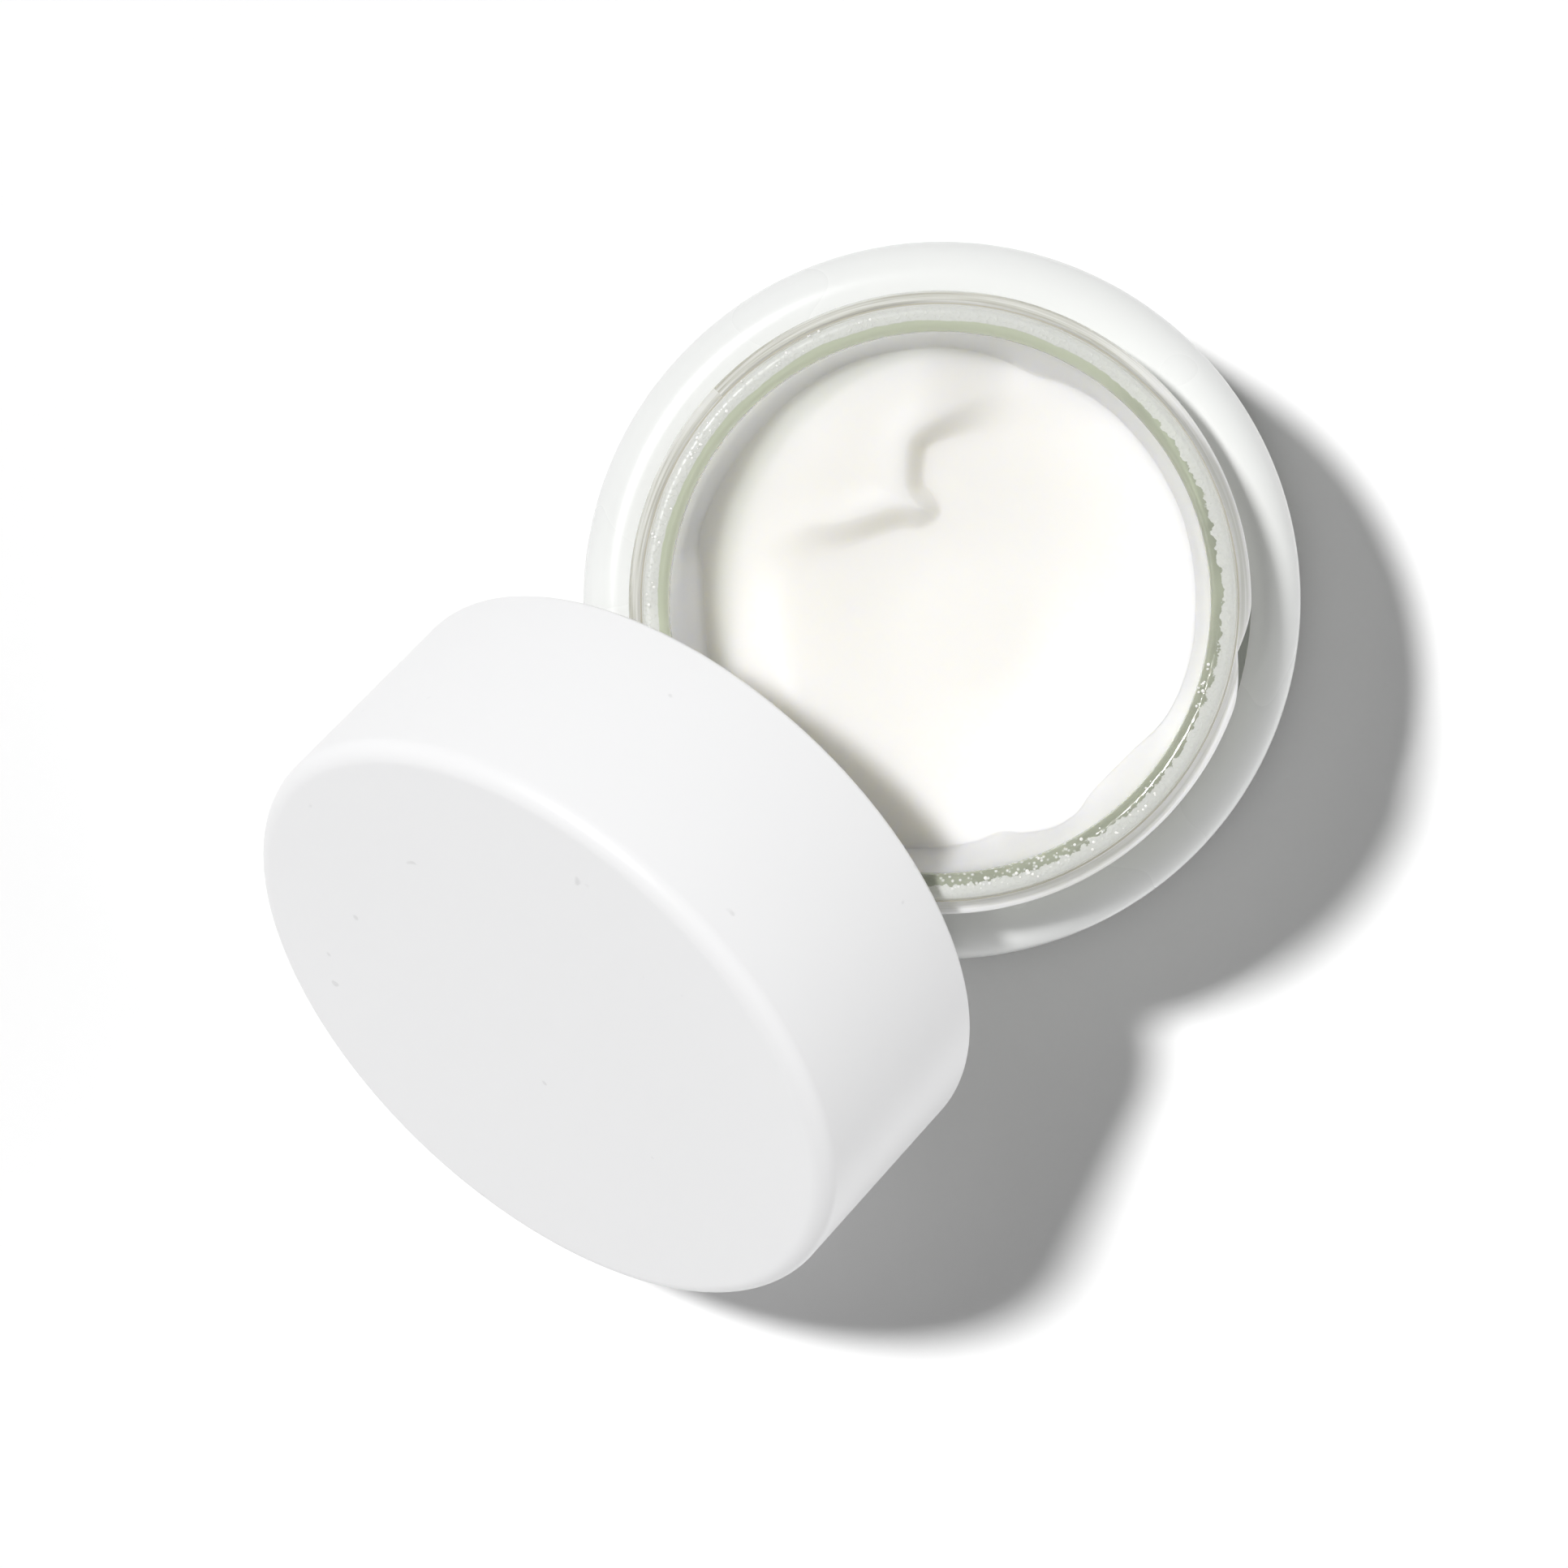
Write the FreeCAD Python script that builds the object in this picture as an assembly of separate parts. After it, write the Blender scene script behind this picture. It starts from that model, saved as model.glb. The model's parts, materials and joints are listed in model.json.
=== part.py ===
"""Open 50 ml cream jar with its screw cap leaning on the neck.

Millimetres. The origin is the centre of the jar's foot on the table, +Z is up,
and the cap leans towards -Y. The jar's axis is Z, and the cap's axis lies in
the YZ plane.
"""
import FreeCAD, Part
import math
import os

from FreeCAD import Vector

# Jar body: thick glass, coated outside
body_diameter = 61.0
shoulder_edge_radius = 3.0
heel_radius = 2.4
floor_thickness = 8.0
cavity_corner_radius = 9.0
cavity_draft = 1.5

# Neck finish: a straight land at the mouth, a small step in, then the cavity
jar_height = 42.8
neck_height = 11.0
neck_diameter = 49.6
neck_wall = 2.25
land_length = 5.0
land_step = 0.3
neck_foot_radius = 0.9
finish_outer_radius = 0.7
finish_inner_radius = 0.9

# Lacquer coat on the outside of the body
lacquer_thickness = 0.15
lacquer_gap = 0.05
bare_heel_height = 2.8
bare_neck_foot = 0.5

# Cream: a floor hollowed by a finger, and the mound that it left standing.
# Drops are from the jar's top, and the mound's top slopes up towards its heading.
cream_gap = 0.1
scoop_drop = 13.8
scoop_rise = 2.4
scoop_x = 2.8
scoop_y = 0.0
scoop_flat = 8.0
scoop_spread = 14.0
mound_drop = 10.6
mound_slope = 0.177
mound_heading = 117.0
peak_height = 0.8
peak_radius = 4.0
peak_x = -9.0
peak_y = 5.2
film_width = 1.5
film_rise = 4.5
cream_grid_step = 1.6

# The mound's lip, from wall to wall, in shares of the cavity's radius
lip_shares = (
    (-0.13, 1.13),
    (-0.28, 0.75),
    (-0.45, 0.47),
    (-0.44, 0.33),
    (-0.36, 0.25),
    (-0.27, 0.24),
    (-0.30, 0.15),
    (-0.47, -0.06),
    (-0.56, -0.25),
    (-0.45, -0.52),
    (-0.19, -0.74),
    (0.30, -1.05),
)

# Cap: outer shell, threaded inner cap and sealing disc
thread_room = 1.8
cap_rim_width = 3.4
cap_height = 21.3
cap_wall = 1.4
cap_top_thickness = 1.8
cap_top_radius = 1.7
cap_inside_radius = 1.2
rim_edge_radius = 0.5
closed_gap = 0.5

inner_wall = 1.1
inner_plate_thickness = 1.2
inner_edge_radius = 0.4
inner_corner_radius = 0.5
flange_thickness = 1.3
flange_recess = 0.1
flange_overlap = 0.5
press_clearance = 0.05
crown_diameter = 36.0
crown_wall = 1.2
web_count = 8
web_thickness = 1.0
web_drop = 2.0

disc_thickness = 1.2
disc_clearance = 0.3
disc_seat_gap = 0.08
disc_edge_radius = 0.25
bead_height = 0.5
bead_width = 1.0
bead_to_disc = 0.12

# How the cap leans: its axis from the vertical, and the air left at the neck
lean_angle = 55.1
lean_clearance = 0.12
contact_steps = 720
search_step = 0.5
search_halvings = 30

# Sizes that follow from the ones above
body_radius = body_diameter / 2
neck_radius = neck_diameter / 2
mouth_radius = neck_radius - neck_wall
bore_radius = neck_radius + thread_room
cap_radius = bore_radius + cap_rim_width
shoulder_height = jar_height - neck_height
land_foot = jar_height - finish_inner_radius - land_length
cavity_top = land_foot - land_step
cavity_radius = mouth_radius - land_step
taper = (cavity_top - floor_thickness) * math.tan(math.radians(cavity_draft))
cavity_foot_radius = cavity_radius - taper
coat_build = lacquer_gap + lacquer_thickness
glass_radius = body_radius - coat_build
glass_shoulder = shoulder_height - coat_build
disc_depth = neck_height - closed_gap
plate_depth = disc_depth + disc_thickness + disc_seat_gap
crown_top = cap_height - cap_top_thickness - press_clearance


def rounded_wire(corners):
    """Closed outline in the XZ plane. Each corner is (x, z, radius)."""
    points = [Vector(x, 0, z) for x, z, _ in corners]
    radii = [radius for _, _, radius in corners]
    starts = []
    middles = []
    ends = []
    for i, point in enumerate(points):
        before = (points[i - 1] - point).normalize()
        after = (points[(i + 1) % len(points)] - point).normalize()
        half = before.getAngle(after) / 2
        run = radii[i] / math.tan(half)
        starts.append(point + before * run)
        ends.append(point + after * run)
        inward = (before + after).normalize() if radii[i] else Vector()
        reach = radii[i] / math.sin(half) - radii[i]
        middles.append(point + inward * reach)
    edges = []
    for i in range(len(points)):
        if radii[i]:
            edges.append(Part.Arc(starts[i], middles[i], ends[i]).toShape())
        following = starts[(i + 1) % len(points)]
        if ends[i].distanceToPoint(following) > 1e-6:
            edges.append(Part.LineSegment(ends[i], following).toShape())
    return Part.Wire(edges)


def turned(corners):
    """Solid made by turning an outline once about the Z axis."""
    face = Part.Face(rounded_wire(corners))
    return face.revolve(Vector(0, 0, 0), Vector(0, 0, 1), 360)


def ring(outer, inner, bottom, top):
    """Plain tube about the Z axis."""
    return turned([
        (inner, bottom, 0),
        (outer, bottom, 0),
        (outer, top, 0),
        (inner, top, 0),
    ])


def make_glass_jar():
    return turned([
        (0, 0, 0),
        (glass_radius, 0, heel_radius),
        (glass_radius, glass_shoulder, shoulder_edge_radius),
        (neck_radius, glass_shoulder, neck_foot_radius),
        (neck_radius, jar_height, finish_outer_radius),
        (mouth_radius, jar_height, finish_inner_radius),
        (mouth_radius, land_foot, 0),
        (cavity_radius, cavity_top, 0),
        (cavity_foot_radius, floor_thickness, cavity_corner_radius),
        (0, floor_thickness, 0),
    ])


def make_coating():
    """Lacquer skin from just above the heel to just outside the neck's foot."""
    inside = glass_radius + lacquer_gap
    under = glass_shoulder + lacquer_gap
    neck_end = neck_radius + neck_foot_radius + bare_neck_foot
    return turned([
        (inside, bare_heel_height, 0),
        (body_radius, bare_heel_height, 0),
        (body_radius, shoulder_height, shoulder_edge_radius + coat_build),
        (neck_end, shoulder_height, 0),
        (neck_end, under, 0),
        (inside, under, shoulder_edge_radius + lacquer_gap),
    ])


def bump(x, y, centre_x, centre_y, radius):
    """Smooth hump, 1 at its centre and near 0 past twice its radius."""
    return math.exp(-((x - centre_x) ** 2 + (y - centre_y) ** 2) / radius ** 2)


def scoop_height(x, y):
    """Height of the hollow, flat in the middle and rising towards the glass."""
    outward = (math.hypot(x - scoop_x, y - scoop_y) - scoop_flat) / scoop_spread
    share = min(max(outward, 0), 1)
    return jar_height - scoop_drop + scoop_rise * share * share * (3 - 2 * share)


def mound_height(x, y):
    """Height of the mound's top."""
    heading = math.radians(mound_heading)
    along = x * math.cos(heading) + y * math.sin(heading)
    peak = bump(x, y, peak_x, peak_y, peak_radius)
    return jar_height - mound_drop + mound_slope * along + peak_height * peak


def under_surface(height):
    """Solid under a surface z = height(x, y) that reaches past the cavity."""
    steps = math.ceil((mouth_radius + cream_grid_step) / cream_grid_step)
    places = [i * cream_grid_step for i in range(-steps, steps + 1)]
    surface = Part.BSplineSurface()
    surface.interpolate([[Vector(x, y, height(x, y)) for y in places] for x in places])
    return surface.toShape().extrude(Vector(0, 0, -jar_height))


def mound_prism():
    """Upright block over the part of the cavity on the mound's side of the lip."""
    points = [Vector(x * cavity_radius, y * cavity_radius, 0) for x, y in lip_shares]
    lip = Part.BSplineCurve()
    lip.interpolate(points)
    far = Vector(-2 * cavity_radius, 0, 0)
    sides = [lip.toShape(), Part.makePolygon([points[-1], far, points[0]])]
    outline = Part.Wire(sides[0].Edges + sides[1].Edges)
    return Part.Face(outline).extrude(Vector(0, 0, jar_height))


def make_film():
    """Ring of cream that slopes up the glass to just under the mouth's land."""
    wall = cavity_radius + cream_gap
    top = cavity_top - cream_gap
    inner = cavity_radius - film_width
    return turned([
        (wall, top - film_rise - film_width, 0),
        (wall, top, 0),
        (cavity_radius - cream_gap, top, 0),
        (inner, top - film_rise, 0),
        (inner, top - film_rise - film_width, 0),
    ])


def make_cream():
    """Cream that fills the cavity up to the hollow, the mound and the film."""
    bottom = floor_thickness + cream_gap
    cavity = turned([
        (0, bottom, 0),
        (cavity_foot_radius - cream_gap, bottom, cavity_corner_radius - cream_gap),
        (cavity_radius - cream_gap, cavity_top, 0),
        (0, cavity_top, 0),
    ])
    mound = mound_prism().common(under_surface(mound_height))
    cream = under_surface(scoop_height).fuse(mound).fuse(make_film())
    return cavity.common(cream).Solids[0]


def make_cap_shell():
    """Outer cap, open at z = 0, with a stepped seat for the inner cap."""
    wall_inside = cap_radius - cap_wall
    seat_radius = wall_inside + flange_overlap
    seat_top = flange_recess + flange_thickness + press_clearance
    return turned([
        (0, cap_height, 0),
        (0, cap_height - cap_top_thickness, 0),
        (wall_inside, cap_height - cap_top_thickness, cap_inside_radius),
        (wall_inside, seat_top, 0),
        (seat_radius, seat_top, 0),
        (seat_radius, 0, 0),
        (cap_radius, 0, rim_edge_radius),
        (cap_radius, cap_height, cap_top_radius),
    ])


def make_cap_inner():
    """Inner cap: flange, skirt, retaining bead, plate, crown ring and webs."""
    skirt_outside = bore_radius + inner_wall
    flange_outside = cap_radius - cap_wall + flange_overlap - press_clearance
    flange_top = flange_recess + flange_thickness
    bead_top = disc_depth - bead_to_disc
    plate_top = plate_depth + inner_plate_thickness
    skirt = turned([
        (0, plate_depth, 0),
        (bore_radius, plate_depth, 0),
        (bore_radius, bead_top, 0),
        (bore_radius - bead_height, bead_top - bead_width / 2, 0),
        (bore_radius, bead_top - bead_width, 0),
        (bore_radius, flange_recess, inner_edge_radius),
        (flange_outside, flange_recess, 0),
        (flange_outside, flange_top, 0),
        (skirt_outside, flange_top, 0),
        (skirt_outside, plate_top, inner_corner_radius),
        (0, plate_top, 0),
    ])
    crown_outside = crown_diameter / 2
    crown_inside = crown_outside - crown_wall
    crown = ring(crown_outside, crown_inside, plate_top - web_thickness, crown_top)
    web_length = skirt_outside - inner_corner_radius - crown_inside
    web_height = crown_top - web_drop - plate_top + web_thickness
    web = Part.makeBox(web_length, web_thickness, web_height)
    web.translate(Vector(crown_inside, -web_thickness / 2, plate_top - web_thickness))
    inner = skirt.fuse(crown)
    for i in range(web_count):
        turned_web = web.copy()
        turned_web.rotate(Vector(0, 0, 0), Vector(0, 0, 1), 360 * i / web_count)
        inner = inner.fuse(turned_web)
    inner = inner.removeSplitter()
    return inner.Solids[0]


def make_sealing_disc():
    """Foam disc, loose between the bead and the inner cap's plate."""
    radius = bore_radius - disc_clearance
    return turned([
        (0, disc_depth, 0),
        (radius, disc_depth, disc_edge_radius),
        (radius, disc_depth + disc_thickness, disc_edge_radius),
        (0, disc_depth + disc_thickness, 0),
    ])


def rim_height():
    """Height of the rim's centre when the rim's outer edge is on the table."""
    tilt = math.radians(lean_angle)
    edge_drop = (cap_radius - rim_edge_radius) * math.sin(tilt)
    return edge_drop + rim_edge_radius * (1 - math.cos(tilt))


def rim_to_finish(offset):
    """Least distance from the rim's inner edge to the finish's outer edge.

    Both edges are rounded, so each is a circle through the middle of its
    round, and the rounds' radii come off the distance between the circles.
    """
    tilt = math.radians(lean_angle)
    edge_radius = bore_radius + inner_edge_radius
    edge_depth = flange_recess + inner_edge_radius
    finish_radius = neck_radius - finish_outer_radius
    finish_height = jar_height - finish_outer_radius
    least = math.inf
    for step in range(contact_steps):
        turn = math.pi * step / contact_steps
        up_rim = edge_radius * math.cos(turn)
        side = edge_radius * math.sin(turn)
        out = offset + edge_depth * math.sin(tilt) - up_rim * math.cos(tilt)
        height = rim_height() + edge_depth * math.cos(tilt) + up_rim * math.sin(tilt)
        level_part = math.hypot(side, out) - finish_radius
        least = min(least, math.hypot(level_part, height - finish_height))
    return least - inner_edge_radius - finish_outer_radius


def rim_offset():
    """Distance of the rim's centre from the jar's axis, resting on the neck."""
    far = neck_radius + cap_radius
    near = far
    while rim_to_finish(near) > lean_clearance:
        far = near
        near -= search_step
    for _ in range(search_halvings):
        middle = (near + far) / 2
        if rim_to_finish(middle) > lean_clearance:
            far = middle
        else:
            near = middle
    return far


def leaned(shape):
    """Take a cap piece from its own axis to where the cap leans."""
    placed = shape.copy()
    placed.rotate(Vector(0, 0, 0), Vector(1, 0, 0), lean_angle)
    placed.translate(Vector(0, -rim_offset(), rim_height()))
    return placed


def tip_axis():
    """Place of the line that the leaning cap tips about, (y, z)."""
    tilt = math.radians(lean_angle)
    reach = cap_radius - rim_edge_radius
    y = -rim_offset() - reach * math.cos(tilt) - rim_edge_radius * math.sin(tilt)
    return y, rim_edge_radius


def main():
    pieces = {
        "glass_jar": make_glass_jar(),
        "jar_coating": make_coating(),
        "cream": make_cream(),
        "cap_shell": leaned(make_cap_shell()),
        "cap_inner": leaned(make_cap_inner()),
        "sealing_disc": leaned(make_sealing_disc()),
    }
    os.makedirs("parts", exist_ok=True)
    for name, shape in pieces.items():
        shape.exportStep("parts/" + name + ".step")
        print(name, "valid", shape.isValid(), "volume", round(shape.Volume, 1))
    y, z = tip_axis()
    print("rim centre y", round(-rim_offset(), 4), "z", round(rim_height(), 4))
    print("tip axis y", round(y, 4), "z", round(z, 4))


main()
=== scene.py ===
"""Open cream jar with its screw cap leaning against it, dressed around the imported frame.

The file is laid out as an add-on. Lengths are metres, MM turns millimetres into them, and
every outline is a list of (radius, height, corner radius) in millimetres about an axis.
"""

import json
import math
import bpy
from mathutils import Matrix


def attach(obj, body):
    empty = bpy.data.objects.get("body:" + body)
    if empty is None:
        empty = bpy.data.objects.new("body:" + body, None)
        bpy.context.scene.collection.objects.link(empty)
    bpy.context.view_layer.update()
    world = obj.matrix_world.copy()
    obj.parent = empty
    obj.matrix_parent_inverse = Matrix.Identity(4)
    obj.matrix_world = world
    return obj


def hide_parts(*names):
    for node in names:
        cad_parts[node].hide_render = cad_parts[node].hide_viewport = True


bl_info = {
    "name": "Open Cream Jar",
    "version": (1, 0, 0),
    "blender": (4, 5, 0),
    "location": "View3D > Sidebar > Cream Jar",
    "description": "Glass jar, lacquer coat, scooped cream, screw cap and stage",
    "category": "Add Mesh",
}

import bmesh
import bpy
import numpy as np
from mathutils import Matrix, Vector

MM = 0.001

# Millimetres and degrees that the source uses for the same forms
CAVITY_CORNER = 9.0
CAVITY_DRAFT = 1.5
HEEL_ROUNDING = 2.4
SHOULDER_ROUNDING = 3.0
COAT_DEPTH = 0.2
CONTACT = 0.03

# Middle of the mould's seam bead below the neck's top, and how far the bead stands out
SEAM_DEPTH = 0.95
SEAM_RISE = 0.15

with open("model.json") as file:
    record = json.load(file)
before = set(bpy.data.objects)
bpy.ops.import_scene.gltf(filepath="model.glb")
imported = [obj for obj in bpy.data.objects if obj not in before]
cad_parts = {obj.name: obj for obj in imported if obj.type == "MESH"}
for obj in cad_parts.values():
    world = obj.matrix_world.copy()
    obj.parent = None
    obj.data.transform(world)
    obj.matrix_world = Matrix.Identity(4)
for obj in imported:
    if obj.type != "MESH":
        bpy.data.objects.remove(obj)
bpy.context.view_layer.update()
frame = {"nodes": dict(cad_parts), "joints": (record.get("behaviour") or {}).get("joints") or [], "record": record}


# Sizes read from the frame

def joint(name):
    return next(one for one in frame["joints"] if one["name"] == name)


def mount(name):
    return next(one for one in frame["record"]["mounts"] if one["name"] == name)


def cap_matrix():
    """The cap's own frame: origin at the rim's centre, Z along the cap's axis, millimetres."""
    turn = joint("cap_turn")
    axis = Vector(turn["axis"]).normalized()
    across = Vector((1, 0, 0))
    matrix = Matrix((across, axis.cross(across), axis)).transposed().to_4x4()
    matrix.translation = Vector(turn["pos_m"])
    return matrix @ Matrix.Scale(MM, 4)


JAR = Matrix.Scale(MM, 4)
CAP = cap_matrix()


def turned_sizes(node, matrix):
    """Radius and height of a CAD node's vertices about an axis, in millimetres."""
    inverse = matrix.inverted()
    places = [inverse @ vertex.co for vertex in frame["nodes"][node].data.vertices]
    table = np.array([tuple(place) for place in places])
    return np.hypot(table[:, 0], table[:, 1]), table[:, 2]


class Sizes:
    """Radii and heights of the CAD pieces, in millimetres."""

    def __init__(self):
        radius, height = turned_sizes("jar_coating", JAR)
        self.body_radius = float(radius.max())
        self.shoulder = float(height.max())
        self.coat_foot = float(height.min())
        self.coat_neck = float(radius[height > self.shoulder - 0.01].min())
        radius, height = turned_sizes("glass_jar", JAR)
        self.glass_radius = float(radius.max())
        self.jar_height = float(height.max())
        self.neck_radius = float(radius[height > self.shoulder + 2].max())
        self.mouth_radius = float(mount("mouth")["dims"]["r_mm"])
        inside = (radius < self.mouth_radius - 0.1) & (height > 2)
        self.jar_floor = float(height[inside].min())
        self.cavity_top = float(height[inside].max())
        self.cavity_radius = float(radius[inside].max())
        drawn_in = (self.cavity_top - self.jar_floor) * math.tan(math.radians(CAVITY_DRAFT))
        self.cavity_foot = self.cavity_radius - drawn_in
        land = mount("mouth")
        self.land_foot = land["pos_m"][2] / MM - land["dims"]["length_mm"]
        radius, height = turned_sizes("cap_shell", CAP)
        self.cap_radius = float(radius.max())
        self.cap_height = float(height.max())
        inside = (radius > 20) & (height > 2) & (height < self.cap_height - 3)
        self.cap_inside = float(radius[inside].min())
        self.cap_ceiling = float(height[radius < self.cap_inside - 0.1].min())
        radius, height = turned_sizes("cap_inner", CAP)
        self.bore_radius = float(radius[height < 2].min())
        self.flange_radius = float(radius.max())
        self.flange_foot = float(height.min())
        self.skirt_radius = float(radius[(height > self.flange_foot + 2) & (height < 12)].max())
        crown = radius < self.bore_radius - 4
        self.plate_foot = float(height[crown].min())
        self.plate_top = self.plate_foot + 1.2
        radius, height = turned_sizes("sealing_disc", CAP)
        self.disc_radius = float(radius.max())
        self.disc_foot = float(height.min())
        self.disc_top = float(height.max())


SIZES = Sizes()


# Node trees written as expressions

class Socket:
    """An output socket. Sums and products of sockets and numbers become Math nodes."""

    def __init__(self, tree, socket):
        self.tree = tree
        self.socket = socket

    def __add__(self, other):
        return self.tree.maths("ADD", self, other)

    def __sub__(self, other):
        return self.tree.maths("SUBTRACT", self, other)

    def __rsub__(self, other):
        return self.tree.maths("SUBTRACT", other, self)

    def __mul__(self, other):
        return self.tree.maths("MULTIPLY", self, other)

    def __truediv__(self, other):
        return self.tree.maths("DIVIDE", self, other)

    def __abs__(self):
        return self.tree.maths("ABSOLUTE", self)

    __radd__ = __add__
    __rmul__ = __mul__


class Tree:
    """Builder of one node tree."""

    def __init__(self, node_tree):
        self.node_tree = node_tree
        self.node_tree.nodes.clear()

    def add(self, kind, settings=None, inputs=None, output=0):
        """Add a node: its settings first, then the values or links of its sockets."""
        node = self.node_tree.nodes.new(kind)
        for name, value in (settings or {}).items():
            setattr(node, name, value)
        for name, value in (inputs or {}).items():
            self.plug(node.inputs[name], value)
        return Socket(self, node.outputs[output]) if node.outputs else node

    def plug(self, entry, value):
        if isinstance(value, Socket):
            self.node_tree.links.new(value.socket, entry)
        else:
            entry.default_value = value

    def maths(self, operation, *values):
        inputs = dict(enumerate(values))
        return self.add("ShaderNodeMath", {"operation": operation}, inputs)

    def smooth(self, value, low, high):
        """0 below low, 1 above high and a smooth step between."""
        settings = {"interpolation_type": "SMOOTHSTEP"}
        inputs = {"Value": value, "From Min": low, "From Max": high}
        return self.add("ShaderNodeMapRange", settings, inputs)

    def noise(self, place, scale, detail=2.0):
        inputs = {"Vector": place, "Scale": scale, "Detail": detail}
        return self.add("ShaderNodeTexNoise", None, inputs)

    def mix(self, factor, first, second):
        """Mix of two colours."""
        inputs = {"Factor": factor, 6: first, 7: second}
        return self.add("ShaderNodeMix", {"data_type": "RGBA"}, inputs, 2)

    def bump(self, height, distance, strength=1.0):
        inputs = {"Height": height, "Distance": distance, "Strength": strength}
        return self.add("ShaderNodeBump", None, inputs)


class Finish(Tree):
    """Material whose pattern reads Object coordinates."""

    def __init__(self, name):
        self.material = bpy.data.materials.new(name)
        self.material.use_nodes = True
        super().__init__(self.material.node_tree)
        self.place = self.add("ShaderNodeTexCoord", None, None, "Object")

    def part(self, axis):
        """One coordinate of the place, in metres."""
        return self.add("ShaderNodeSeparateXYZ", None, {0: self.place}, axis)

    def radius(self):
        """Distance from the jar's axis, in metres."""
        square = self.part("X") * self.part("X") + self.part("Y") * self.part("Y")
        return self.maths("SQRT", square)

    def rise(self, value, low, high):
        """Smooth step of a length between two lengths given in millimetres."""
        return self.smooth(value, low * MM, high * MM)

    def shader(self, **inputs):
        named = {name.replace("_", " "): value for name, value in inputs.items()}
        return self.add("ShaderNodeBsdfPrincipled", None, named)

    def output(self, surface, volume=None):
        inputs = {"Surface": surface}
        if volume:
            inputs["Volume"] = volume
        self.add("ShaderNodeOutputMaterial", None, inputs)
        return self.material


# Settings shown in the sidebar

def colour(name, description, default):
    return bpy.props.FloatVectorProperty(
        name=name, description=description, subtype="COLOR", size=3, min=0, max=1, default=default
    )


def length(name, description, default):
    return bpy.props.FloatProperty(
        name=name, description=description, unit="LENGTH", precision=5, default=default * MM
    )


def angle(name, description, degrees):
    return bpy.props.FloatProperty(
        name=name, description=description, subtype="ANGLE", default=math.radians(degrees)
    )


def number(name, description, default):
    return bpy.props.FloatProperty(name=name, description=description, default=default)


class JarSettings(bpy.types.PropertyGroup):
    segments: bpy.props.IntProperty(
        name="Segments", description="Steps around every turned piece", default=320, min=32
    )
    thread_pitch: length("Thread pitch", "Rise of the thread in one turn", 4.233)
    thread_height: length("Thread height", "How far the thread stands out", 1.3)
    thread_width: length("Thread width", "Width of the thread at its foot", 2.6)
    thread_top: length("Thread top", "Mouth's edge down to the thread's highest point", 2.6)
    thread_turns: number("Thread turns", "Length of the thread in turns", 1.04)
    thread_start: angle("Thread start", "Where the thread's lower end is, about the axis", 26)
    glass_tint: colour("Glass tint", "Colour that deep glass takes", (0.62, 0.7, 0.45))
    edge_tint: colour("Glass edge", "Colour seen down through the mouth's edge",
                      (0.6, 0.64, 0.5))
    stipple_place: angle("Stipple place", "Where the rim is stippled, about the axis", -32)
    coat_colour: colour("Lacquer", "Colour of the lacquer coat", (0.835, 0.845, 0.84))


class CreamSettings(bpy.types.PropertyGroup):
    mound_level: length("Mound level", "Height of the cream that the scoop left standing", 34.0)
    scoop_floor: length("Scoop floor", "Height of the hollow's middle", 31.0)
    film_top: length("Film top", "Height of the film left on the glass", 41.3)
    rings: bpy.props.IntProperty(name="Rings", description="Steps from middle to wall", default=170)
    segments: bpy.props.IntProperty(name="Segments", description="Steps around", default=480)
    colour: colour("Cream", "Colour of the cream", (0.91, 0.9, 0.874))
    seed: bpy.props.IntProperty(name="Seed", description="Seed of the droplets", default=7)
    droplet: length("Droplet", "Radius of the largest droplet on the rim", 0.16)


class CapSettings(bpy.types.PropertyGroup):
    shell_colour: colour("Shell", "Colour of the outer cap", (0.94, 0.94, 0.945))
    inner_colour: colour("Inner cap", "Colour of the threaded inner cap", (0.9, 0.9, 0.89))
    foam_colour: colour("Foam", "Colour of the sealing disc", (0.9, 0.9, 0.88))


class StageSettings(bpy.types.PropertyGroup):
    sun_strength: number("Sun", "Strength of the key lamp", 2.95)
    sun_width: angle("Sun width", "Width of the key lamp", 6.5)
    sky_strength: number("Sky", "Strength of the even light around", 0.02)
    right_strength: number("Right softbox", "Strength of the low light from the picture's right", 2.6)
    near_strength: number("Near softbox", "Strength of the low light from the picture's foot", 1.7)


# Mesh makers

def rounded(corners, arc_steps=8, closed=True):
    """Points (r, z) of an outline, in millimetres, with an arc at each rounded corner."""
    count = len(corners)
    points = []
    for i, (radius, height, rounding) in enumerate(corners):
        corner = Vector((radius, height))
        open_end = not closed and i in (0, count - 1)
        if rounding == 0 or open_end:
            points.append(corner)
            continue
        before = Vector(corners[i - 1][:2]) - corner
        after = Vector(corners[(i + 1) % count][:2]) - corner
        before.normalize()
        after.normalize()
        half = math.acos(max(-1, min(1, before.dot(after)))) / 2
        centre = corner + (before + after).normalized() * rounding / math.sin(half)
        start = corner + before * rounding / math.tan(half) - centre
        end = corner + after * rounding / math.tan(half) - centre
        sweep = start.angle_signed(end)
        for step in range(arc_steps + 1):
            turned = start.copy()
            turned.rotate(Matrix.Rotation(-sweep * step / arc_steps, 2))
            points.append(centre + turned)
    return [(point.x, point.y) for point in points]


def divided(points, start, end, pieces):
    """Add points to each run of an outline that lies within (r, z) limits."""
    result = []
    for i, point in enumerate(points):
        result.append(point)
        if i + 1 == len(points):
            break
        following = points[i + 1]
        inside = all(start[k] - 0.01 <= p[k] <= end[k] + 0.01 for p in (point, following) for k in (0, 1))
        if inside:
            for step in range(1, pieces):
                share = step / pieces
                result.append(tuple(a + (b - a) * share for a, b in zip(point, following)))
    return result


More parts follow.
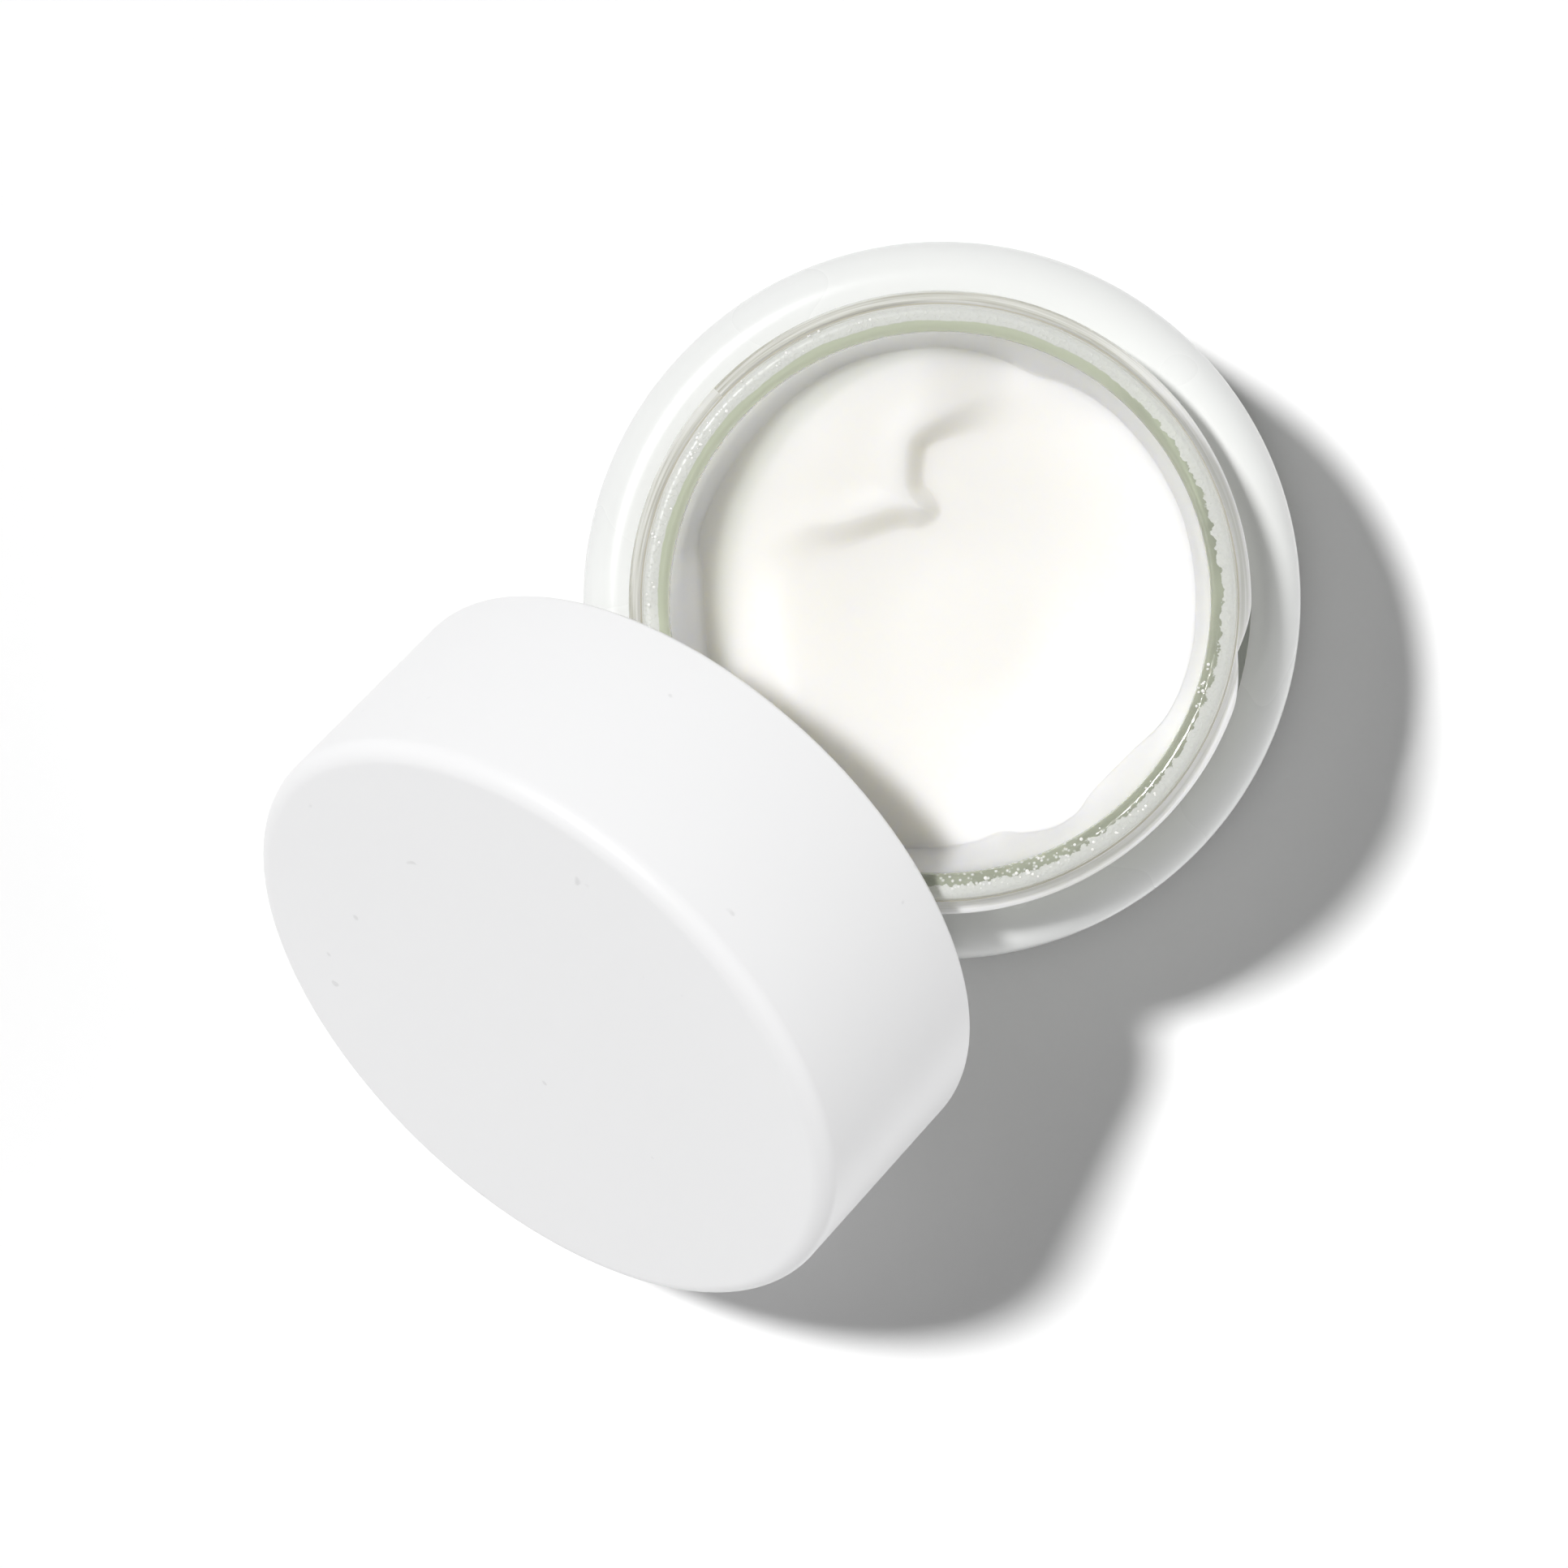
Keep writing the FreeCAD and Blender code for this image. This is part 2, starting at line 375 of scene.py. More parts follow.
def mesh_object(name, places, faces, matrix, smooth_angle=40):
    """Object at the origin from places in millimetres of a frame."""
    mesh = bpy.data.meshes.new(name)
    world = np.array(places, float) @ np.array(matrix.to_3x3()).T + np.array(matrix.translation)
    mesh.from_pydata(world.tolist(), [], faces)
    mesh.validate()
    mesh.set_sharp_from_angle(angle=math.radians(smooth_angle))
    piece = bpy.data.objects.new(name, mesh)
    bpy.context.collection.objects.link(piece)
    return piece


def lathe(name, points, matrix, segments, closed=False):
    """Turn an outline about the Z axis. Points on the axis become single poles."""
    places = []
    rings = []
    for radius, height in points:
        if radius < 1e-6:
            rings.append([len(places)] * segments)
            places.append((0, 0, height))
            continue
        first = len(places)
        for i in range(segments):
            angle = math.tau * i / segments
            places.append((radius * math.cos(angle), radius * math.sin(angle), height))
        rings.append(list(range(first, first + segments)))
    if closed:
        rings.append(rings[0])
    faces = []
    for low, high in zip(rings, rings[1:]):
        for i in range(segments):
            following = (i + 1) % segments
            corners = [low[i], low[following], high[following], high[i]]
            corners = list(dict.fromkeys(corners))
            if len(corners) > 2:
                faces.append(corners)
    return mesh_object(name, places, faces, matrix)


def dress(piece, node, body, material):
    """Give a piece its material, hang it on its body and hide the CAD node it takes the place of, if any."""
    piece.data.materials.clear()
    piece.data.materials.append(material)
    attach(piece, body)
    if node:
        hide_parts(node)


# Geometry Nodes trees

def node_group(name, lengths, counts=()):
    """Geometry tree with named inputs: the group, its builder and a socket for each input."""
    group = bpy.data.node_groups.new(name, "GeometryNodeTree")
    face = group.interface
    face.new_socket("Geometry", in_out="INPUT", socket_type="NodeSocketGeometry")
    for count in counts:
        face.new_socket(count, in_out="INPUT", socket_type="NodeSocketInt")
    for one in lengths:
        face.new_socket(one, in_out="INPUT", socket_type="NodeSocketFloat")
    face.new_socket("Material", in_out="INPUT", socket_type="NodeSocketMaterial")
    face.new_socket("Geometry", in_out="OUTPUT", socket_type="NodeSocketGeometry")
    tree = Tree(group)
    given = {
        item.name: tree.add("NodeGroupInput", None, None, item.name)
        for item in face.items_tree if item.in_out == "INPUT"
    }
    return group, tree, given


def painted_output(tree, geometry, material):
    """End a geometry tree: real geometry in one material."""
    real = tree.add("GeometryNodeRealizeInstances", None, {"Geometry": geometry})
    painted = tree.add(
        "GeometryNodeSetMaterial", None, {"Geometry": real, "Material": material}
    )
    tree.add("NodeGroupOutput", None, {"Geometry": painted})


def thread_tree():
    """Tree that pushes a turned wall out, or in, along a right-handed helix.

    Lengths are metres. The wall is turned about the Z axis of the piece's own frame.
    """
    group, tree, given = node_group("Screw thread", (
        "Wall radius", "Height", "Width", "Pitch", "Turns", "Lowest", "Start angle",
    ))
    place = tree.add("GeometryNodeInputPosition")
    x, y, z = [tree.add("ShaderNodeSeparateXYZ", None, {0: place}, axis) for axis in "XYZ"]
    radius = tree.maths("SQRT", x * x + y * y)
    ahead = tree.maths("COSINE", given["Start angle"])
    beside = tree.maths("SINE", given["Start angle"])
    turn = tree.maths("ARCTAN2", y * ahead - x * beside, x * ahead + y * beside) / math.tau
    wraps = (z - given["Lowest"]) / given["Pitch"] - turn
    nearest = tree.maths("ROUND", wraps)
    along = nearest + turn
    off_line = abs(wraps - nearest) * given["Pitch"]
    foot = given["Width"] / 2
    ridge = tree.smooth(off_line, foot, foot * 0.3)
    begins = tree.smooth(along, 0.0, 0.05)
    ends = tree.smooth(along, given["Turns"], given["Turns"] - 0.05)
    on_wall = tree.smooth(abs(radius - given["Wall radius"]), 0.2 * MM, 0.1 * MM)
    push = given["Height"] * ridge * begins * ends * on_wall / radius
    offset = tree.add("ShaderNodeCombineXYZ", None, {"X": x * push, "Y": y * push})
    moved = tree.add(
        "GeometryNodeSetPosition", None, {"Geometry": given["Geometry"], "Offset": offset}
    )
    painted_output(tree, moved, given["Material"])
    return group


def baked(piece, group, values):
    """Run a tree on a piece, keep its result as a plain mesh and drop the modifier."""
    modifier = piece.modifiers.new(group.name, "NODES")
    modifier.node_group = group
    sockets = {item.name: item.identifier for item in group.interface.items_tree
               if item.in_out == "INPUT"}
    for name, value in values.items():
        modifier[sockets[name]] = value
    bpy.context.view_layer.update()
    graph = bpy.context.evaluated_depsgraph_get()
    mesh = bpy.data.meshes.new_from_object(piece.evaluated_get(graph))
    piece.modifiers.clear()
    old = piece.data
    piece.data = mesh
    bpy.data.meshes.remove(old)
    mesh.name = piece.name


def threaded(piece, matrix, values):
    """Cut or raise a thread on a turned piece that was made in the frame's own millimetres."""
    metres = Matrix.Scale(MM, 4)
    to_axis = metres @ matrix.inverted()
    piece.data.transform(to_axis)
    baked(piece, bpy.data.node_groups.get("Screw thread") or thread_tree(), values)
    piece.data.transform(to_axis.inverted())
    piece.data.set_sharp_from_angle(angle=math.radians(40))


def droplet_tree():
    """Tree that strews flattened beads over part of a ring about the Z axis, in metres."""
    group, tree, given = node_group("Droplets", (
        "Inner radius", "Outer radius", "Height", "First angle", "Last angle", "Largest",
    ), ("Count", "Seed"))

    def strewn(low, high, extra):
        inputs = {2: low, 3: high, "Seed": given["Seed"] * 10 + extra}
        return tree.add("FunctionNodeRandomValue", {"data_type": "FLOAT"}, inputs, 1)

    angle = strewn(given["First angle"], given["Last angle"], 1)
    radius = strewn(given["Inner radius"], given["Outer radius"], 2)
    size = strewn(given["Largest"] * 0.3, given["Largest"], 3)
    place = tree.add("ShaderNodeCombineXYZ", None, {
        "X": tree.maths("COSINE", angle) * radius,
        "Y": tree.maths("SINE", angle) * radius,
        "Z": given["Height"],
    })
    points = tree.add("GeometryNodeMeshLine", None, {"Count": given["Count"]})
    strewed = tree.add("GeometryNodeSetPosition", None, {"Geometry": points, "Position": place})
    bead = tree.add("GeometryNodeMeshIcoSphere", None, {"Radius": 1.0, "Subdivisions": 3})
    smooth = tree.add("GeometryNodeSetShadeSmooth", None, {"Geometry": bead})
    flat = tree.add("ShaderNodeCombineXYZ", None, {"X": size, "Y": size, "Z": size * 0.6})
    copies = tree.add("GeometryNodeInstanceOnPoints", None,
                      {"Points": strewed, "Instance": smooth, "Scale": flat})
    painted_output(tree, copies, given["Material"])
    return group


# Materials

def glass_zones(finish, settings):
    """Masks, from 0 to 1, of the places where the glass looks different."""
    mouth = SIZES.mouth_radius
    wall = SIZES.neck_radius
    top = SIZES.jar_height
    height = finish.part("Z")
    radius = finish.radius()
    turn = finish.maths("ARCTAN2", finish.part("Y"), finish.part("X"))
    rim = finish.rise(height, top - 1.0, top - 0.8)
    neck = finish.rise(height, SIZES.shoulder, SIZES.shoulder + 0.6)
    off_wall = finish.rise(radius, wall, wall + 0.1)
    ragged = finish.noise(finish.place, 1500.0, 5.0)
    patches = finish.noise(finish.place, 160.0)
    # The side away from the key lamp: its frost edge is rougher, its thread gets painted light and its inner edge
    # painted shade
    side_away_from_lamp = finish.rise(finish.part("X"), -6.0, 8.0)
    # The frosted land's inner edge wanders, most on the rougher side away from the key lamp
    edge = mouth + 0.95
    wander = (ragged - 0.5) * (side_away_from_lamp * 1.3 * MM + 0.15 * MM)
    reach = radius + wander + (patches - 0.5) * (0.5 * MM)
    frost = rim * finish.rise(reach, edge - 0.06, edge + 0.06)
    frost = frost * finish.rise(radius, wall - 0.1, wall - 0.2)
    inner_edge = rim * (1 - frost) * finish.rise(radius, wall, wall - 0.3)
    off_seam = abs(height - (top - SEAM_DEPTH) * MM)
    seam = finish.rise(off_seam, 0.16, 0.1) * finish.rise(radius, wall, wall + 0.05)
    dots = finish.add("ShaderNodeTexVoronoi", {"feature": "F1"},
                      {"Vector": finish.place, "Scale": 2300.0}, "Distance")
    stippled = rim * finish.smooth(abs(turn - settings.stipple_place), 0.3, 0.2)
    stippled = stippled * finish.rise(radius, mouth + 1.5, mouth + 1.2)
    # Streaks across the neck, as painted refraction: light and dark bands in the haze's tone
    streak_width = 0.3 * MM
    streak_height = 2.5 * MM
    streak_place = finish.add("ShaderNodeCombineXYZ", None, {
        "X": radius * (1 / streak_width), "Y": turn * 1.5, "Z": height * (1 / streak_height),
    })
    return {
        "neck": neck, "frost": frost, "inner edge": inner_edge, "seam": seam,
        "painted refraction streaks": finish.smooth(finish.noise(streak_place, 1.0, 3.0), 0.38, 0.66),
        "beads": stippled * finish.smooth(dots, 0.42, 0.12),
        # Outer thread on the side away from the key lamp: painted light, paler and hazier
        "painted light on far thread": side_away_from_lamp * neck * off_wall,
        # Patches of painted shade on the inner edge away from the key lamp
        "painted shade patches": side_away_from_lamp * patches,
        "rubbed": inner_edge * side_away_from_lamp * ragged,
        "grain": finish.noise(finish.place, 3600.0, 3.0),
        "outer wall": neck * finish.rise(radius, wall - 0.4, wall - 0.2),
        "land": finish.rise(height, top - 0.5, top - 0.3),
    }


def glass_tone(finish, zone, settings):
    """Colour of the haze in the glass, with painted refraction streaks, and with painted light on the thread and
    painted shade on the inner edge away from the key lamp.
    """
    # A darker copy of the edge colour, used as painted shade in patches away from the key lamp
    painted_shade_edge = tuple(channel * 0.62 for channel in settings.edge_tint)
    # Painted refraction streaks: the haze is darker along the streaks
    plain = finish.mix(zone["painted refraction streaks"], (0.8, 0.8, 0.77, 1), (0.45, 0.44, 0.38, 1))
    # Painted light: the thread away from the key lamp is paler
    far_thread_light = finish.mix(zone["painted refraction streaks"], (0.99, 0.99, 0.98, 1), (0.8, 0.8, 0.77, 1))
    edge = finish.mix(zone["painted shade patches"] * 1.9, (*settings.edge_tint, 1), (*painted_shade_edge, 1))
    tone = finish.mix(zone["painted light on far thread"], plain, far_thread_light)
    tone = finish.mix(zone["inner edge"], tone, edge)
    tone = finish.mix(zone["frost"], tone, (0.74, 0.75, 0.72, 1))
    tone = finish.mix(zone["frost"] * zone["grain"] * 0.55, tone, (0.55, 0.56, 0.52, 1))
    tone = finish.mix(zone["seam"], tone, (0.42, 0.39, 0.3, 1))
    return finish.mix(zone["beads"], tone, (0.95, 0.95, 0.93, 1))


def glass_material(settings):
    """Glass that is green in depth, with a frosted land and a hazy neck with painted refraction streaks.

    The haze stands for the light that gathers between the lacquer and the cream. Sunlight
    leaves the neck's outer wall freely from within, and is held back where it would enter.
    """
    finish = Finish("Clear glass")
    zone = glass_zones(finish, settings)
    frost = zone["frost"]
    # The haze stands for gathered light, with more of it as painted light on the thread away from the key lamp
    haze = zone["neck"] * 0.68 + zone["painted light on far thread"] * 0.3
    haze = haze + zone["inner edge"] * 0.14 + frost * 0.2 + zone["seam"] * 0.3
    pits = finish.smooth(zone["grain"], 0.5, 0.68) * frost
    wave = finish.noise(finish.place, 140.0)
    relief = wave * 0.3 + pits * 0.3 + zone["beads"] * 0.8 + zone["rubbed"] * 0.8
    normal = finish.bump(relief, 0.12 * MM, 0.6)
    clear = finish.shader(
        Base_Color=(1, 1, 1, 1), Roughness=frost * 0.22 + 0.02, IOR=1.5,
        Transmission_Weight=1.0, Normal=normal,
    )
    hazy = finish.shader(
        Base_Color=glass_tone(finish, zone, settings), Roughness=frost * 0.3 + 0.08,
        Normal=normal, Subsurface_Weight=0.7, Subsurface_Radius=(1.0, 1.0, 0.9),
        Subsurface_Scale=2.0 * MM,
    )
    body = finish.add("ShaderNodeMixShader", None, {0: haze, 1: clear, 2: hazy})
    through = finish.add("ShaderNodeBsdfTransparent", None, {"Color": (0.96, 0.98, 0.94, 1)})
    shadow = finish.add("ShaderNodeLightPath", None, None, "Is Shadow Ray")
    leaving = finish.add("ShaderNodeNewGeometry", None, None, "Backfacing")
    held_back = zone["outer wall"] * (1 - leaving) * 0.92 + zone["land"] * 0.3
    surface = finish.add("ShaderNodeMixShader", None,
                         {0: shadow * (1 - held_back), 1: body, 2: through})
    tint = (*settings.glass_tint, 1)
    depth = finish.add("ShaderNodeVolumeAbsorption", None, {"Color": tint, "Density": 12.0})
    return finish.output(surface, depth)


def coat_material(settings):
    """White lacquer: satin gloss with slow changes of tone and gloss."""
    finish = Finish("White lacquer")
    cloud = finish.noise(finish.place, 45.0, 2.0)
    base = (*settings.coat_colour, 1)
    warm = tuple(channel * 0.985 for channel in settings.coat_colour[:2])
    colour_mix = finish.mix(cloud, base, (*warm, settings.coat_colour[2] * 0.965, 1))
    surface = finish.shader(
        Base_Color=colour_mix, Roughness=cloud * 0.08 + 0.24, Coat_Weight=0.25,
        Coat_Roughness=0.12,
    )
    return finish.output(surface)


def plastic_material(name, base, roughness):
    """Moulded plastic: fine texture, a few dust specks and slow tone changes."""
    finish = Finish(name)
    grain = finish.noise(finish.place, 1500.0, 3.0)
    cloud = finish.noise(finish.place, 30.0, 2.0)
    specks = finish.smooth(finish.noise(finish.place, 420.0, 1.0), 0.76, 0.8)
    dark = tuple(channel * 0.975 for channel in base)
    dusty = tuple(channel * 0.86 for channel in base)
    tone = finish.mix(cloud, (*base, 1), (*dark, 1))
    tone = finish.mix(specks, tone, (*dusty, 1))
    normal = finish.bump(grain, 0.02 * MM, 0.3)
    surface = finish.shader(
        Base_Color=tone, Roughness=grain * 0.1 + roughness, Normal=normal
    )
    return finish.output(surface)


def foam_material(settings):
    """Matt closed-cell foam."""
    finish = Finish("Sealing foam")
    cells = finish.noise(finish.place, 2400.0, 2.0)
    base = settings.foam_colour
    shade = tuple(channel * 0.93 for channel in base)
    tone = finish.mix(cells, (*base, 1), (*shade, 1))
    normal = finish.bump(cells, 0.04 * MM, 0.5)
    return finish.output(finish.shader(Base_Color=tone, Roughness=0.75, Normal=normal))


def cream_material(settings):
    """Thick cream: soft, light spreads in it, with a wet sheen."""
    finish = Finish("Cream")
    soft = finish.noise(finish.place, 260.0, 3.0)
    cloud = finish.noise(finish.place, 60.0, 2.0)
    base = settings.colour
    warm = (base[0], base[1] * 0.99, base[2] * 0.97)
    tone = finish.mix(cloud, (*base, 1), (*warm, 1))
    normal = finish.bump(soft, 0.05 * MM, 0.25)
    surface = finish.shader(
        Base_Color=tone, Roughness=soft * 0.12 + 0.3, Normal=normal, Subsurface_Weight=1.0,
        Subsurface_Radius=(1.0, 0.97, 0.8), Subsurface_Scale=5.0 * MM, Coat_Weight=0.2,
        Coat_Roughness=0.15,
    )
    return finish.output(surface)


def droplet_material(settings):
    """Cream in small drops, wetter than the filling."""
    finish = Finish("Cream droplets")
    tone = finish.noise(finish.place, 900.0, 2.0)
    base = settings.colour
    pale = tuple(min(channel * 1.04, 1) for channel in base)
    surface = finish.shader(
        Base_Color=finish.mix(tone, (*base, 1), (*pale, 1)), Roughness=tone * 0.1 + 0.08,
        Coat_Weight=0.5, Coat_Roughness=0.05,
    )
    return finish.output(surface)


# Jar

class CREAMJAR_OT_glass(bpy.types.Operator):
    """Thick glass pot with its screw neck"""

    bl_idname = "creamjar.glass"
    bl_label = "Glass Jar"

    def execute(self, context):
        settings = context.scene.jar_settings
        size = SIZES
        under_coat = size.shoulder - COAT_DEPTH
        seam = size.jar_height - SEAM_DEPTH
        points = rounded([
            (0, 0, 0),
            (size.glass_radius, 0, HEEL_ROUNDING),
            (size.glass_radius, under_coat, SHOULDER_ROUNDING),
            (size.neck_radius, under_coat, 0.9),
            (size.neck_radius, seam - SEAM_RISE, 0),
            (size.neck_radius + SEAM_RISE, seam - 0.05, 0),
            (size.neck_radius + SEAM_RISE, seam + 0.05, 0),
            (size.neck_radius, seam + SEAM_RISE, 0),
            (size.neck_radius, size.jar_height, 0.7),
            (size.mouth_radius, size.jar_height, 0.9),
            (size.mouth_radius, size.land_foot, 0),
            (size.cavity_radius, size.cavity_top, 0),
            (size.cavity_foot, size.jar_floor, CAVITY_CORNER),
            (0, size.jar_floor, 0),
        ], 10)
        wall_foot = (size.neck_radius, size.shoulder)
        points = divided(points, wall_foot, (size.neck_radius, seam - SEAM_RISE), 64)
        piece = lathe("glass_pot", points, JAR, settings.segments)
        material = glass_material(settings)
        top = size.jar_height * MM - settings.thread_top
        values = {
            "Wall radius": size.neck_radius * MM,
            "Height": settings.thread_height,
            "Width": settings.thread_width,
            "Pitch": settings.thread_pitch,
            "Turns": settings.thread_turns,
            "Lowest": top - settings.thread_turns * settings.thread_pitch,
            "Start angle": settings.thread_start,
            "Material": material,
        }
        threaded(piece, JAR, values)
        dress(piece, "glass_jar", "jar", material)
        return {"FINISHED"}


class CREAMJAR_OT_coat(bpy.types.Operator):
    """Lacquer coat over the outside of the pot"""

    bl_idname = "creamjar.coat"
    bl_label = "Lacquer Coat"

    def execute(self, context):
        settings = context.scene.jar_settings
        size = SIZES
        inside = size.glass_radius - CONTACT
        under = size.shoulder - COAT_DEPTH - CONTACT
        points = rounded([
            (inside, size.coat_foot, 0),
            (size.body_radius, size.coat_foot, 0.05),
            (size.body_radius, size.shoulder, SHOULDER_ROUNDING + COAT_DEPTH),
            (size.coat_neck, size.shoulder, 0.05),
            (size.coat_neck, under, 0),
            (inside, under, SHOULDER_ROUNDING),
        ], 12)
        piece = lathe("lacquer_coat", points, JAR, settings.segments, closed=True)
        dress(piece, "jar_coating", "jar", coat_material(settings))
        return {"FINISHED"}


# Cream

PICTURE_TURN = math.radians(43.37)

# The scoop's lip, from upper right to lower left: right and up in the picture, height of
# the ridge that the finger pushed up, and how wide the step down is, all in millimetres
LIP = (
    (14.0, 19.0, 0.0, 6.0),
    (11.2, 17.1, 0.0, 5.5),
    (6.9, 16.5, 0.0, 4.5),
    (3.5, 15.8, 0.1, 3.2),
    (0.0, 14.5, 0.3, 2.2),
    (-1.5, 13.7, 0.4, 1.8),
    (-2.1, 12.7, 0.4, 1.7),
    (-2.2, 9.8, 0.4, 1.6),
    (-1.3, 8.6, 0.3, 1.8),
    (-0.9, 7.7, 0.3, 2.0),
    (-1.8, 7.1, 0.4, 2.1),
    (-3.6, 7.1, 0.5, 2.2),
    (-5.9, 6.4, 0.4, 2.2),
    (-8.5, 5.6, 0.3, 2.5),
    (-10.9, 5.2, 0.2, 3.2),
    (-12.8, 4.0, 0.15, 3.8),
    (-14.4, 2.3, 0.1, 4.8),
    (-15.3, -1.3, 0.0, 5.4),
    (-15.3, -6.1, 0.0, 5.8),
    (-13.6, -10.9, 0.0, 6.0),
    (-10.2, -16.4, 0.0, 6.0),
    (-6.0, -23.0, 0.0, 6.0),
)

# Film of cream on the glass: degrees about the mouth in the picture, millimetres thick
FILM = (
    (0, 1.0), (20, 0.95), (45, 1.0), (55, 1.15), (62, 1.5), (68, 1.85), (76, 1.5),
    (86, 1.2), (98, 1.2), (112, 1.15), (124, 1.35), (138, 1.6), (152, 1.5), (163, 1.4),
    (168, 1.6), (173, 2.3), (182, 2.5), (192, 2.3), (205, 1.6), (230, 1.4), (260, 1.6),
    (278, 2.0), (284, 2.4), (289, 1.8), (296, 1.2), (303, 1.3), (310, 2.1), (321, 2.1),
    (331, 1.3), (340, 1.0), (350, 0.95), (360, 1.0),
)


def curve_through(points, steps):
    """Smooth curve through points, as a table with one row for each step."""
    table = np.array(points, float)
    ends = np.vstack([2 * table[0] - table[1], table, 2 * table[-1] - table[-2]])
    rows = []
    for i in range(1, len(ends) - 2):
        before, start, end, after = ends[i - 1:i + 3]
        for step in range(steps):
            t = step / steps
            rows.append(0.5 * (
                2 * start + (end - before) * t
                + (2 * before - 5 * start + 4 * end - after) * t ** 2
                + (3 * start - before - 3 * end + after) * t ** 3
            ))
    rows.append(table[-1])
    return np.array(rows)


def beside_lip(right, up):
    """Distance to the lip, positive on the mound, with the ridge's height and the step's width."""
    lip = curve_through(LIP, 6)
    nearest = np.full(right.shape, np.inf)
    for start, end in zip(lip, lip[1:]):
        run = end[:2] - start[:2]
        from_start = (right - start[0], up - start[1])
        share = (from_start[0] * run[0] + from_start[1] * run[1]) / run.dot(run)
        share = np.clip(share, 0, 1)
        away = np.hypot(from_start[0] - share * run[0], from_start[1] - share * run[1])
        nearest = np.minimum(nearest, away)
    beyond_jar = [(-60, -60), (-60, 60), (30, 60)]
    outline = np.vstack([lip[:, :2], beyond_jar])
    on_mound = np.zeros(right.shape, bool)
    for start, end in zip(outline, np.roll(outline, -1, axis=0)):
        crosses = (start[1] > up) != (end[1] > up)
        rise = np.where(crosses, end[1] - start[1], 1)
        meets = (up - start[1]) * (end[0] - start[0]) / rise + start[0]
        on_mound ^= crosses & (right < meets)
    total = np.zeros(right.shape)
    ridge = np.zeros(right.shape)
    width = np.zeros(right.shape)
    for point in lip:
        weight = np.exp(-np.hypot(right - point[0], up - point[1]) / 0.8)
        total += weight
        ridge += weight * point[2]
        width += weight * point[3]
    total += 1e-30
    return np.where(on_mound, nearest, -nearest), ridge / total, width / total


def step_up(value):
    """Smooth step from 0 to 1 as value goes from 0 to 1."""
    share = np.clip(value, 0, 1)
    return share * share * (3 - 2 * share)


def film_thickness(angle):
    """Thickness of the film on the glass by angle in the picture, in millimetres."""
    table = curve_through(FILM, 8)
    return np.interp(np.degrees(angle), table[:, 0], table[:, 1], period=360)


def cream_surface(x, y, settings):
    """Height of the cream at a place, all in millimetres."""
    right = x * math.cos(PICTURE_TURN) + y * math.sin(PICTURE_TURN)
    up = y * math.cos(PICTURE_TURN) - x * math.sin(PICTURE_TURN)
    radius = np.hypot(x, y)
    angle = np.mod(np.arctan2(up, right), math.tau)
    # The hollow is level near its middle, then climbs 1.8 mm over 17 mm
    from_middle = np.hypot(right - 2, up + 1.9)
    scoop = settings.scoop_floor / MM + 1.8 * step_up((from_middle - 5) / 17)
    # The mound slopes, with a ridge beside the lip, and fades towards the right
    mound = settings.mound_level / MM + 0.17 * (up - 6) + 0.05 * right
    distance, ridge, width = beside_lip(right, up)
    mound += ridge * np.exp(-((distance - 1.2) / 1.9) ** 2) - 0.6 * np.exp(-(distance / 6) ** 2)
    kept = 1 - 0.88 * step_up((right + 2.5) / 9)
    height = scoop + (mound - scoop) * kept * step_up(distance / width + 0.5)
    # The film's top edge is wavy, and 2.4 mm lower around 140 degrees
    top = settings.film_top / MM + 0.35 * np.sin(3 * angle + 0.5) + 0.15 * np.sin(8 * angle)
    top -= 2.4 * step_up(1 - np.abs(np.degrees(angle) - 140) / 75)
    thickness = film_thickness(angle)
    inward = SIZES.mouth_radius - radius
    film = np.clip((thickness - inward) / thickness, 0, 1) ** 1.15
    return height + (top - height) * film


class CREAMJAR_OT_cream(bpy.types.Operator):
    """Cream with a scooped hollow, its lip and a film left on the glass"""

    bl_idname = "creamjar.cream"
    bl_label = "Cream"

    def execute(self, context):
        settings = context.scene.cream_settings
        size = SIZES
        outside = size.mouth_radius + CONTACT
        share = np.linspace(0, 1, settings.rings + 1)[1:]
        radii = outside * (1 - (1 - share) ** 1.5)
        angles = np.arange(settings.segments) * math.tau / settings.segments
        x = np.outer(radii, np.cos(angles))
        y = np.outer(radii, np.sin(angles))
        z = cream_surface(x, y, settings)
        middle = cream_surface(np.zeros((1, 1)), np.zeros((1, 1)), settings)[0, 0]
        places = [(0, 0, middle)] + np.stack([x, y, z], -1).reshape(-1, 3).tolist()
        side = rounded([
            (outside, size.land_foot, 0),
            (size.cavity_radius + CONTACT, size.cavity_top, 0),
            (size.cavity_foot + CONTACT, size.jar_floor - CONTACT, CAVITY_CORNER),
            (0, size.jar_floor - CONTACT, 0),
        ], 6, closed=False)
        for radius, height in side[:-1]:
            ring = np.stack([radius * np.cos(angles), radius * np.sin(angles),
                             np.full(settings.segments, height)], -1)
            places += ring.tolist()
        rings = settings.rings + len(side) - 1
        faces = []
        count = settings.segments
        for i in range(count):
            following = (i + 1) % count
            faces.append((0, 1 + i, 1 + following))
            for ring in range(rings - 1):
                first = 1 + ring * count
                faces.append((first + i, first + count + i, first + count + following,
                              first + following))
        last = 1 + (rings - 1) * count
        faces += [(last + i, len(places), last + (i + 1) % count) for i in range(count)]
        places.append((0, 0, side[-1][1]))
        piece = mesh_object("cream_filling", places, faces, JAR, 75)
        dress(piece, "cream", "jar", cream_material(settings))
        return {"FINISHED"}


# Clusters of droplets: first and last angle in the picture, in degrees, inner and outer
# share of the rim's width, and how many
CLUSTERS = (
    (136, 150, 0.45, 0.85, 16),
    (100, 190, 0.5, 0.95, 26),
    (-22, -12, 0.0, 0.3, 12),
    (-82, -40, 0.1, 0.75, 34),
)


